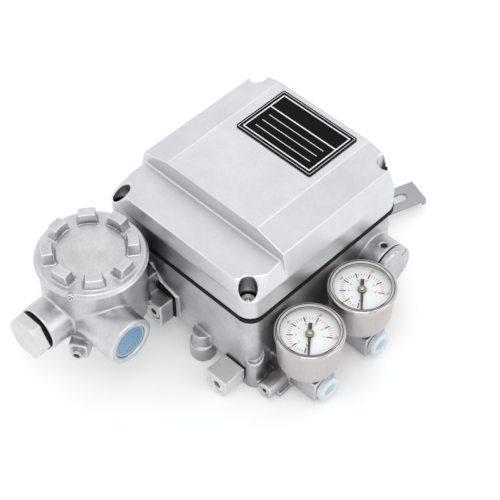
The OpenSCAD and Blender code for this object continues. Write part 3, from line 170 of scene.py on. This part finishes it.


# The surfaces of the CAD nodes, by their material slot
# In these looks the edge colour is a painted highlight and the recess colour is painted shade.
SLOT_LOOKS = {
    "cast_aluminium": dict(
        dark=(0.43, 0.425, 0.445), light=(0.68, 0.675, 0.695), rough=(0.285, 0.39), bump=0.8,
        metallic=0.88, grain=700, blotch=60, painted_highlight=(0.84, 0.84, 0.86), painted_shade=(0.20, 0.195, 0.2)),
    "terminal_aluminium": dict(
        dark=(0.51, 0.515, 0.53), light=(0.69, 0.695, 0.71), rough=(0.29, 0.39), bump=0.75,
        metallic=1.0, grain=700, blotch=60, painted_highlight=(0.84, 0.85, 0.86), painted_shade=(0.3, 0.3, 0.31)),
    "cover_aluminium": dict(
        dark=(0.635, 0.645, 0.665), light=(0.725, 0.735, 0.755), rough=(0.285, 0.35), bump=0.1,
        metallic=1.0, grain=1000, blotch=45, stretch=(1, 0.35, 1), painted_highlight=(0.84, 0.85, 0.86),
        painted_shade=(0.12, 0.12, 0.125)),
    "black_rubber": dict(
        dark=(0.006, 0.006, 0.007), light=(0.014, 0.014, 0.015), rough=(0.5, 0.7), bump=0.2,
        specular=0.12),
    "dark_screw": dict(
        dark=(0.55, 0.54, 0.53), light=(0.72, 0.71, 0.70), rough=(0.1, 0.2), bump=0.1,
        metallic=1.0),
    "steel_screw": dict(
        dark=(0.48, 0.48, 0.47), light=(0.66, 0.66, 0.65), rough=(0.2, 0.36), bump=0.1,
        metallic=1.0),
    "plate_black": dict(
        dark=(0.003, 0.003, 0.004), light=(0.006, 0.006, 0.007), rough=(0.3, 0.42), bump=0.05,
        specular=0.05),
    "nickel_block": dict(
        dark=(0.60, 0.60, 0.61), light=(0.74, 0.74, 0.75), rough=(0.3, 0.42), bump=0.35,
        metallic=0.85, grain=900, painted_highlight=(0.84, 0.84, 0.85)),
    "light_blue_plug": dict(
        dark=(0.62, 0.69, 0.72), light=(0.72, 0.78, 0.81), rough=(0.3, 0.45), bump=0.08),
    "blue_plug": dict(
        dark=(0.12, 0.26, 0.41), light=(0.20, 0.36, 0.53), rough=(0.22, 0.36), bump=0.12),
    "gauge_steel": dict(
        dark=(0.50, 0.475, 0.465), light=(0.64, 0.61, 0.60), rough=(0.36, 0.5), bump=0.12,
        metallic=1.0, grain=500, stretch=(1, 1, 0.06)),
    "bezel_steel": dict(
        dark=(0.50, 0.49, 0.47), light=(0.62, 0.61, 0.59), rough=(0.07, 0.14), bump=0.03,
        metallic=1.0),
    "dial_white": dict(
        dark=(0.94, 0.945, 0.945), light=(0.965, 0.97, 0.97), rough=(0.4, 0.5), bump=0.03),
    "pointer_black": dict(
        dark=(0.016, 0.018, 0.014), light=(0.035, 0.038, 0.03), rough=(0.35, 0.5), bump=0.05),
    "brass": dict(
        dark=(0.42, 0.31, 0.12), light=(0.55, 0.42, 0.19), rough=(0.25, 0.4), bump=0.08,
        metallic=1.0),
    "bronze": dict(
        dark=(0.28, 0.17, 0.08), light=(0.38, 0.24, 0.12), rough=(0.35, 0.5), bump=0.15,
        metallic=1.0),
    "lever_steel": dict(
        dark=(0.36, 0.36, 0.38), light=(0.46, 0.46, 0.48), rough=(0.34, 0.48), bump=0.1,
        metallic=1.0, grain=900, stretch=(1, 0.1, 1)),
    "black_plastic": dict(
        dark=(0.02, 0.02, 0.02), light=(0.035, 0.035, 0.035), rough=(0.45, 0.6), bump=0.15),
    "white_plastic": dict(
        dark=(0.72, 0.72, 0.70), light=(0.8, 0.8, 0.78), rough=(0.3, 0.4), bump=0.05),
    "coil_copper": dict(
        dark=(0.30, 0.12, 0.04), light=(0.42, 0.19, 0.07), rough=(0.4, 0.55), bump=0.3,
        grain=600, stretch=(0.05, 0.05, 1)),
}
# The surfaces that only pieces made here have
OWN_LOOKS = {
    "block_skin": dict(
        dark=(0.64, 0.64, 0.635), light=(0.79, 0.79, 0.785), rough=(0.3, 0.42), bump=0.35,
        # its edge colour is a painted highlight
        metallic=0.75, grain=900, painted_highlight=(0.84, 0.84, 0.83)),
    "print_black": dict(
        dark=(0.015, 0.015, 0.015), light=(0.03, 0.03, 0.03), rough=(0.5, 0.6), bump=0.03),
    "print_red": dict(
        dark=(0.62, 0.045, 0.06), light=(0.74, 0.08, 0.09), rough=(0.5, 0.6), bump=0.03),
    "print_white": dict(
        dark=(0.78, 0.78, 0.78), light=(0.86, 0.86, 0.86), rough=(0.4, 0.5), bump=0.03),
    # painted shade: black for beads and discs put where shade falls, and for the window seal
    "shade_and_seal_black": dict(
        dark=(0.012, 0.012, 0.012), light=(0.025, 0.025, 0.025), rough=(0.4, 0.6), bump=0.1,
        specular=0.15),
    "plug_blue": dict(
        dark=(0.34, 0.50, 0.60), light=(0.46, 0.60, 0.69), rough=(0.25, 0.4), bump=0.06),
    # painted highlight: the lip's lighter blue stands for the highlight on its rim
    "plug_lip_highlight": dict(
        dark=(0.40, 0.53, 0.64), light=(0.52, 0.64, 0.74), rough=(0.2, 0.32), bump=0.06),
    "hub_light": dict(
        dark=(0.70, 0.66, 0.50), light=(0.82, 0.78, 0.62), rough=(0.2, 0.35), bump=0.06,
        metallic=1.0),
    "hub_olive": dict(
        dark=(0.26, 0.23, 0.12), light=(0.38, 0.34, 0.19), rough=(0.25, 0.4), bump=0.06,
        metallic=1.0),
}
LOOKS = {name: surface(name, **look) for name, look in (SLOT_LOOKS | OWN_LOOKS).items()}
LOOKS["gauge_glass"] = clear_window("gauge_glass")
for name, obj in cad.items():
    obj.data.materials.clear()
    obj.data.materials.append(LOOKS[slot_of[name]])


# Castings

ROUNDING = 0.5
# Grid of the skin in millimetres and passes of its smoothing, for each rounded node
CASTINGS = {
    "cover": (0.45, 10),
    "base_housing": (0.6, 5),
    "terminal_housing": (0.6, 6),
    "terminal_cap": (0.45, 5),
    "outlet_block": (0.4, 5),
    "blind_plug": (0.4, 4),
    "pilot_cap": (0.35, 4),
    "feedback_lever": (0.35, 3),
    "supply_gauge_case": (0.4, 4),
    "outlet_gauge_case": (0.4, 4),
    "supply_dust_plug": (0.35, 4),
    "outlet_dust_plug": (0.35, 4),
    "cover_screws": (0.22, 3),
}
CAST_LOOKS = {"outlet_block": "block_skin"}    # where it isn't the slot's own look


def new_piece(name, mesh, body, look):
    """An object of a mesh and one material, which rides on a body."""
    piece = bpy.data.objects.new(name, mesh)
    scene.collection.objects.link(piece)
    piece.data.materials.clear()
    piece.data.materials.append(LOOKS[look])
    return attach(piece, body)


def stand_for(piece, node):
    """Hide a CAD node where a piece is shown in its place."""
    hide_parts(node)


def casting(node, grid, passes):
    """A copy of a CAD node with every edge and corner rounded as in a casting."""
    look = CAST_LOOKS.get(node, slot_of[node])
    piece = new_piece(node + "_cast", cad[node].data.copy(), body_of[node], look)
    skin = piece.modifiers.new("skin", "REMESH")
    skin.mode = "VOXEL"
    skin.voxel_size = grid
    skin.use_smooth_shade = True
    smooth = piece.modifiers.new("rounding", "SMOOTH")
    smooth.factor = ROUNDING
    smooth.iterations = passes
    stand_for(piece, node)


for node, (grid, passes) in CASTINGS.items():
    casting(node, grid * MM, passes)


# Flat prints

def plates(name, outlines, low, high, body, look):
    """Thin plates from closed outlines, in metres, between two heights."""
    mesh = bpy.data.meshes.new(name)
    work = bmesh.new()
    for outline in outlines:
        face = work.faces.new([work.verts.new((x, y, low)) for x, y in outline])
        if face.normal.z > 0:
            face.normal_flip()
        raised = bmesh.ops.extrude_face_region(work, geom=[face])
        moved = [g for g in raised["geom"] if isinstance(g, bmesh.types.BMVert)]
        bmesh.ops.translate(work, verts=moved, vec=(0, 0, high - low))
    bmesh.ops.recalc_face_normals(work, faces=work.faces)
    work.to_mesh(mesh)
    work.free()
    new_piece(name, mesh, body, look)


def middle_xy(low, high):
    return ((low[0] + high[0]) / 2, (low[1] + high[1]) / 2)


def bar(centre, angle, mark):
    """Outline of a radial bar about a centre, from its ends and width in millimetres."""
    near, far, width = (length * MM for length in mark)
    along = Vector((math.cos(angle), math.sin(angle)))
    across = Vector((-along.y, along.x)) * width / 2
    middle = Vector(centre)
    return [tuple(middle + along * near - across), tuple(middle + along * far - across),
            tuple(middle + along * far + across), tuple(middle + along * near + across)]


def numeral(name, text, place, size, turn, body, look):
    """A flat number on a dial, its baseline turned by an angle."""
    curve = bpy.data.curves.new(name, "FONT")
    curve.body = text
    curve.size = size
    curve.align_x = "CENTER"
    curve.align_y = "CENTER"
    curve.extrude = NUMBER_THICK
    holder = bpy.data.objects.new(name + "_text", curve)
    scene.collection.objects.link(holder)
    bpy.context.view_layer.update()
    solid = holder.evaluated_get(bpy.context.evaluated_depsgraph_get())
    mesh = bpy.data.meshes.new_from_object(solid)
    bpy.data.objects.remove(holder)
    mesh.transform(Matrix.Translation(place) @ Matrix.Rotation(turn, 4, "Z"))
    new_piece(name, mesh, body, look)


# Dials: marks as near end, far end and width in millimetres from the centre
SCALE_ZERO, SCALE_SPAN = math.radians(-59.9), math.radians(-266)
MAJORS, MINORS = 7, 5
BLACK_MARK, RED_MARK = (9.6, 13.2, 0.7), (11.1, 13.0, 0.3)
INK_BACK, BLACK_INK, RED_INK = 0.03 * MM, 0.02 * MM, 0.01 * MM
BLACK_AT, BLACK_SIZE, BLACK_STEP = 7.9, 1.9 * MM, 2
RED_AT, RED_SIZE, RED_STEP, RED_EVERY = 14.9, 2.4 * MM, 20, 2
NUMBER_THICK = 0.02 * MM


def dial_print(side):
    """Two scales: black marks with small numbers inside, fine red ones with larger ones outside."""
    low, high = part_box(side + "_gauge_dial")
    centre = middle_xy(low, high)
    top = high[2] + INK_BACK
    body = body_of[side + "_gauge_dial"]
    upright = SCALE_ZERO + SCALE_SPAN / 2 - math.pi / 2
    black, red = [], []
    for i in range(MAJORS * MINORS + 1):
        angle = SCALE_ZERO + SCALE_SPAN * i / (MAJORS * MINORS)
        if i % MINORS == 0:
            black.append(bar(centre, angle, BLACK_MARK))
        red.append(bar(centre, angle, RED_MARK))
    plates(side + "_marks_black", black, top - INK_BACK, top + BLACK_INK, body, "print_black")
    plates(side + "_marks_red", red, top - INK_BACK, top + RED_INK, body, "print_red")
    for i in range(MAJORS + 1):
        angle = SCALE_ZERO + SCALE_SPAN * i / MAJORS
        way = Vector((math.cos(angle), math.sin(angle)))
        outer, inner = Vector(centre) + way * RED_AT * MM, Vector(centre) + way * BLACK_AT * MM
        if i % RED_EVERY:
            numeral(f"{side}_red_{i}", str(RED_STEP * i), (*outer, top), RED_SIZE, upright, body,
                    "print_red")
        numeral(f"{side}_black_{i}", str(BLACK_STEP * i), (*inner, top), BLACK_SIZE, upright, body,
                "print_black")


# Turned pieces: profiles as (radius, height) in millimetres

RING_STEPS, PLUG_STEPS, SMALL_STEPS, TINY_STEPS = 96, 64, 48, 32
WELD, SLIVER = 0.001 * MM, 0.0005 * MM
CRISP_ANGLE = math.radians(40)
BEAD_END, BEAD_STEPS = 330, 11


def lathe(name, profile, origin, axis, body, look, steps):
    """A closed profile turned about an axis through a point in metres."""
    turn = Vector(UP).rotation_difference(Vector(axis)).to_matrix()
    work = bmesh.new()
    rows = []
    for i in range(steps):
        angle = 2 * math.pi * i / steps
        row = []
        for r, h in profile:
            point = turn @ Vector((r * math.cos(angle), r * math.sin(angle), h))
            row.append(work.verts.new(Vector(origin) + point * MM))
        rows.append(row)
    count = len(profile)
    for i in range(steps):
        here, there = rows[i], rows[(i + 1) % steps]
        for j in range(count):
            k = (j + 1) % count
            work.faces.new((here[j], there[j], there[k], here[k]))
    bmesh.ops.remove_doubles(work, verts=work.verts, dist=WELD)
    bmesh.ops.dissolve_degenerate(work, edges=work.edges, dist=SLIVER)
    bmesh.ops.recalc_face_normals(work, faces=work.faces)
    for face in work.faces:
        face.smooth = True
    mesh = bpy.data.meshes.new(name)
    work.to_mesh(mesh)
    work.free()
    piece = new_piece(name, mesh, body, look)
    crisp = piece.modifiers.new("crisp", "EDGE_SPLIT")
    crisp.split_angle = CRISP_ANGLE
    return piece


def arc(r, h, radius, start, end, steps=8):
    """Points of an arc in a profile, by its centre and its angles in degrees."""
    angles = [math.radians(start + (end - start) * i / steps) for i in range(steps + 1)]
    return [(r + radius * math.cos(a), h + radius * math.sin(a)) for a in angles]


def bead(r, h, radius):
    """Round section of a bead in a profile, by its centre."""
    return arc(r, h, radius, 0, BEAD_END, BEAD_STEPS)


# Bezel, as distance in from the rim and height over the foot or the top, then its three black
# beads, which paint shade
BEZEL_ROLL = 1.45
BEZEL_FOOT = [(2.3, 0), (0.9, 0), (0.55, 0.25), (0.5, 0.6), (0, 0.8)]
BEZEL_LIP = [(2.2, -0.12), (2.8, -0.4), (3.3, -0.62), (3.3, -0.8), (2.3, -0.8)]
FOOT_SHADOW_IN, FOOT_SHADOW_UP, FOOT_SHADOW_R = 0.72, 0.45, 0.3
GROOVE_IN, GROOVE_H, GROOVE_R = 1.75, -0.12, 0.24
SEAL_IN, SEAL_H, SEAL_R = 3.38, -0.78, 0.2
HUB_CAP = [(0, -0.2), (2.62, -0.2), (2.62, -0.05), *arc(2.32, -0.1, 0.3, 10, 90, 4),
           (1.3, 0.22), (1.15, 0.1), (0, 0.1)]
HUB_PIN = [(0, 0.05), (1.05, 0.05), (1.05, 0.2), (0.7, 0.3), (0, 0.33)]


def gauge_trim(side):
    """Rolled bezel with black beads of painted shade at its foot, in its lip and at the window
    seal, and a brass cap on the pointer's hub.
    """
    low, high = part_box(side + "_gauge_bezel")
    centre = middle_xy(low, high)
    outer = (high[0] - low[0]) / 2 / MM
    tall = (high[2] - low[2]) / MM
    top = (*centre, high[2])
    body = body_of[side + "_gauge_bezel"]
    profile = [(outer - inward, -tall + up) for inward, up in BEZEL_FOOT]
    profile += arc(outer - BEZEL_ROLL, -BEZEL_ROLL, BEZEL_ROLL, 0, 90)
    profile += [(outer - inward, height) for inward, height in BEZEL_LIP]
    ring = lathe(side + "_bezel_ring", profile, top, UP, body, "bezel_steel", RING_STEPS)
    stand_for(ring, side + "_gauge_bezel")
    # painted shadow under the bezel's foot, painted shade in the lip's groove, and a black window
    # seal that also paints the dark line inside the rim
    beads = {
        "_bezel_foot_shadow": bead(outer - FOOT_SHADOW_IN, -tall + FOOT_SHADOW_UP, FOOT_SHADOW_R),
        "_bezel_groove_shade": bead(outer - GROOVE_IN, GROOVE_H, GROOVE_R),
        "_window_seal_and_shade": bead(outer - SEAL_IN, SEAL_H, SEAL_R),
    }
    for name, section in beads.items():
        lathe(side + name, section, top, UP, body, "shade_and_seal_black", RING_STEPS)
    low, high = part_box(side + "_gauge_pointer")
    hub = (*centre, high[2])
    body = body_of[side + "_gauge_pointer"]
    lathe(side + "_hub_cap", HUB_CAP, hub, UP, body, "hub_olive", SMALL_STEPS)
    lathe(side + "_hub_pin", HUB_PIN, hub, UP, body, "hub_light", TINY_STEPS)


PLUG_FACE = [(0, -1.2), (4.1, -1.2), (4.1, -0.9), (3.6, -0.7), (0, -0.62)]
LIP_IN, LIP_R = 0.75, 0.5
DOME_RISE, DOME_BACK, DOME_ANGLES = 0.75, -0.3, range(90, -1, -15)


def outer_end(node):
    """Middle of the end of a plug that points out along +X."""
    low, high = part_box(node)
    return (high[0], (low[1] + high[1]) / 2, (low[2] + high[2]) / 2)


def plug_face(side):
    """Deeper blue membrane in the dish of a port's dust plug."""
    plug = side + "_dust_plug"
    lathe(side + "_plug_face", PLUG_FACE, outer_end(plug), OUT, body_of[plug], "plug_blue",
          SMALL_STEPS)


def conduit_plug_face():
    """Slightly domed membrane and raised lip of the conduit's dust plug, the lip a lighter blue as
    a painted highlight.
    """
    plug = "conduit_dust_plug"
    low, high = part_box(plug)
    end, body = outer_end(plug), body_of[plug]
    lip = (high[1] - low[1]) / 2 / MM - LIP_IN
    angles = [math.radians(a) for a in DOME_ANGLES]
    dome = [(0, DOME_BACK), (lip, DOME_BACK)]
    dome += [(lip * math.sin(a), DOME_RISE * math.cos(a)) for a in angles]
    lathe("conduit_plug_dome", dome, end, OUT, body, "blue_plug", PLUG_STEPS)
    # painted highlight: the lip is a lighter blue
    lathe("conduit_plug_lip", bead(lip, 0, LIP_R), end, OUT, body, "plug_lip_highlight", PLUG_STEPS)


EARTH_RISE = 2.8
EARTH_SCREW = [(0, -10.9), (2, -10.9), (2, -2.4), (3.5, -2.4), *arc(2.6, -1, 0.9, 0, 90),
               (1.85, 0), (1.6, -1.1), (0, -1.2)]
# black disc of painted shade in the head's recess
EARTH_RECESS_SHADE = [(0, -1.25), (1.55, -1.25), (1.55, -0.95), (0, -0.8)]


def box_middle(node):
    low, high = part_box(node)
    return (Vector(low) + Vector(high)) / 2


def earth_head():
    """Earth screw with a rounded head and a black disc of painted shade in its round recess."""
    washer, hub = box_middle("earth_washer"), box_middle("terminal_cap_ring")
    axis = Vector((washer.x - hub.x, washer.y - hub.y, 0)).normalized()
    top = washer + axis * EARTH_RISE * MM
    body = body_of["earth_screw"]
    screw = lathe("earth_screw_head", EARTH_SCREW, top, axis, body, "steel_screw", SMALL_STEPS)
    stand_for(screw, "earth_screw")
    # painted shade: a black disc in the head's recess
    lathe("earth_screw_recess_shade", EARTH_RECESS_SHADE, top, axis, body, "shade_and_seal_black", TINY_STEPS)


# Gasket and data plate

GASKET_PROUD = 0.6 * MM
PLATE_RIM, PLATE_FIELD = 0.8 * MM, 0.15 * MM   # raised rim, and the field's depth below it
LINE_BACK, EDGE_PROUD, WHITE_PROUD = 0.05 * MM, 0.08 * MM, 0.06 * MM
EDGE_GAP, EDGE_WIDE = 0.1 * MM, 0.45 * MM
FRAME_INSET, FRAME_WIDE = 2.2 * MM, 0.75 * MM
HEADING_SHARE = 0.36
RULE_WIDE, RULE_MARGIN, RULE_SPACES = 0.4 * MM, 5 * MM, 4


def gasket_bead():
    """The cover gasket, squeezed out a little beyond the flanges that it lies between."""
    node = "cover_gasket"
    low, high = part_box(node)
    middle = box_middle(node)
    mesh = cad[node].data.copy()
    grow = [1 + 2 * GASKET_PROUD / (high[i] - low[i]) for i in range(2)]
    widen = Matrix.Diagonal((*grow, 1, 1))
    mesh.transform(Matrix.Translation(middle) @ widen @ Matrix.Translation(-middle))
    stand_for(new_piece("cover_gasket_bead", mesh, body_of[node], slot_of[node]), node)


def rect(x0, y0, x1, y1):
    return [(x0, y0), (x1, y0), (x1, y1), (x0, y1)]


def frame_bars(x0, y0, x1, y1, width):
    """Outlines of the four sides of a rectangular line."""
    return [rect(x0, y0, x1, y0 + width), rect(x0, y1 - width, x1, y1),
            rect(x0, y0 + width, x0 + width, y1 - width),
            rect(x1 - width, y0 + width, x1, y1 - width)]


def inset(x0, y0, x1, y1, by):
    return x0 + by, y0 + by, x1 - by, y1 - by


def plate_lines():
    """Generic data plate: a bright edge, a white frame with a heading and ruled lines."""
    low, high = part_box("name_plate")
    body = body_of["name_plate"]
    field = high[2] - PLATE_FIELD
    inside = inset(low[0], low[1], high[0], high[1], PLATE_RIM)
    edge = frame_bars(*inset(*inside, EDGE_GAP), EDGE_WIDE)
    plates("plate_edge", edge, field - LINE_BACK, field + EDGE_PROUD, body, "steel_screw")
    x0, y0, x1, y1 = inset(*inside, FRAME_INSET)
    white = frame_bars(x0, y0, x1, y1, FRAME_WIDE)
    heading = y1 - HEADING_SHARE * (y1 - y0)
    white.append(rect(x0 + FRAME_WIDE, heading, x1 - FRAME_WIDE, heading + FRAME_WIDE))
    for i in range(1, RULE_SPACES):
        y = heading - i * (heading - y0) / RULE_SPACES
        white.append(rect(x0 + RULE_MARGIN, y, x1 - RULE_MARGIN, y + RULE_WIDE))
    plates("plate_frame", white, field - LINE_BACK, field + WHITE_PROUD, body, "print_white")


for side in SIDES:
    dial_print(side)
    gauge_trim(side)
    plug_face(side)
conduit_plug_face()
earth_head()
gasket_bead()
plate_lines()


# Floor, light and camera

FLOOR_HALF, FLOOR_COLOUR, FLOOR_GLOW = 6.0, (0.82, 0.82, 0.82, 1), 0.2
LIT_COLOUR, SEEN_COLOUR, WORLD_STRENGTH = (0.98, 0.99, 1, 1), (1, 1, 1, 1), 1.0
LAMP_AIM = (0, 0, 0.05)
# Place and size in metres, power in watts. The edge lamps light the folds of the cover.
LAMPS = {
    "key": ((-1.0, -1.0, 0.95), 1.9, 1.6),
    "top": ((0.55, -0.55, 1.55), 0.8, 3.6),
    "side": ((1.3, 0.4, 0.7), 0.9, 2.0),
    "right_edge": ((-0.41, 0.86, 1.6), 0.16, 0.45),
    "left_edge": ((-1.18, 0.86, 1.15), 0.16, 0.3),
}
CAMERA_TURN, CAMERA_RISE = math.radians(44.14), math.radians(48.18)
CAMERA_AIM, CAMERA_DISTANCE = (0, 0, 0.0625), 0.90762
CAMERA_LENS, CAMERA_SENSOR = 109.15, 36
CAMERA_SHIFT_X, CAMERA_SHIFT_Y = -0.0068, -0.080


def seen_rays(tree):
    """1 for rays of the camera, of reflections and through glass, otherwise 0."""
    path = node_at(tree, "ShaderNodeLightPath")
    first = node_at(tree, "ShaderNodeMath", operation="MAXIMUM")
    second = node_at(tree, "ShaderNodeMath", operation="MAXIMUM")
    tree.links.new(path.outputs["Is Camera Ray"], first.inputs[0])
    tree.links.new(path.outputs["Is Glossy Ray"], first.inputs[1])
    tree.links.new(first.outputs[0], second.inputs[0])
    tree.links.new(path.outputs["Is Transmission Ray"], second.inputs[1])
    return second.outputs[0]


def stage_floor():
    """A pale floor that keeps the object's shadow and is a little brighter where it is seen."""
    mesh = bpy.data.meshes.new("floor")
    corners = rect(-FLOOR_HALF, -FLOOR_HALF, FLOOR_HALF, FLOOR_HALF)
    mesh.from_pydata([(x, y, 0) for x, y in corners], [], [(0, 1, 2, 3)])
    floor = bpy.data.objects.new("floor", mesh)
    scene.collection.objects.link(floor)
    mat = bpy.data.materials.new("floor_white")
    mat.use_nodes = True
    tree = mat.node_tree
    tree.nodes.clear()
    out = node_at(tree, "ShaderNodeOutputMaterial")
    plain = node_at(tree, "ShaderNodeBsdfDiffuse", Color=FLOOR_COLOUR)
    glow = node_at(tree, "ShaderNodeEmission", Strength=FLOOR_GLOW)
    both = node_at(tree, "ShaderNodeAddShader")
    choose = node_at(tree, "ShaderNodeMixShader")
    tree.links.new(plain.outputs[0], both.inputs[0])
    tree.links.new(glow.outputs[0], both.inputs[1])
    tree.links.new(seen_rays(tree), choose.inputs[0])
    tree.links.new(plain.outputs[0], choose.inputs[1])
    tree.links.new(both.outputs[0], choose.inputs[2])
    tree.links.new(choose.outputs[0], out.inputs[0])
    mesh.materials.append(mat)


def studio_world():
    """Even light from all sides, pure white where it is seen."""
    world = bpy.data.worlds.new("studio")
    scene.world = world
    world.use_nodes = True
    tree = world.node_tree
    tree.nodes.clear()
    out = node_at(tree, "ShaderNodeOutputWorld")
    lit = node_at(tree, "ShaderNodeBackground", Color=LIT_COLOUR, Strength=WORLD_STRENGTH)
    seen = node_at(tree, "ShaderNodeBackground", Color=SEEN_COLOUR, Strength=WORLD_STRENGTH)
    choose = node_at(tree, "ShaderNodeMixShader")
    tree.links.new(seen_rays(tree), choose.inputs[0])
    tree.links.new(lit.outputs[0], choose.inputs[1])
    tree.links.new(seen.outputs[0], choose.inputs[2])
    tree.links.new(choose.outputs[0], out.inputs[0])


def softbox(name, place, size, power):
    """A square lamp that points at the object."""
    data = bpy.data.lights.new(name, "AREA")
    data.size = size
    data.energy = power
    lamp = bpy.data.objects.new(name, data)
    lamp.location = place
    aim = Vector(LAMP_AIM) - Vector(place)
    lamp.rotation_euler = aim.to_track_quat("-Z", "Y").to_euler()
    scene.collection.objects.link(lamp)


def photo_camera():
    """The camera at the photograph's viewing angle."""
    back = Vector((math.sin(CAMERA_TURN) * math.cos(CAMERA_RISE),
                   -math.cos(CAMERA_TURN) * math.cos(CAMERA_RISE), math.sin(CAMERA_RISE)))
    data = bpy.data.cameras.new("camera")
    data.lens = CAMERA_LENS
    data.sensor_width = CAMERA_SENSOR
    data.shift_x = CAMERA_SHIFT_X
    data.shift_y = CAMERA_SHIFT_Y
    camera = bpy.data.objects.new("camera", data)
    camera.location = Vector(CAMERA_AIM) + CAMERA_DISTANCE * back
    camera.rotation_euler = back.to_track_quat("Z", "Y").to_euler()
    scene.collection.objects.link(camera)
    scene.camera = camera


stage_floor()
studio_world()
for name, (place, size, power) in LAMPS.items():
    softbox(name, place, size, power)
photo_camera()
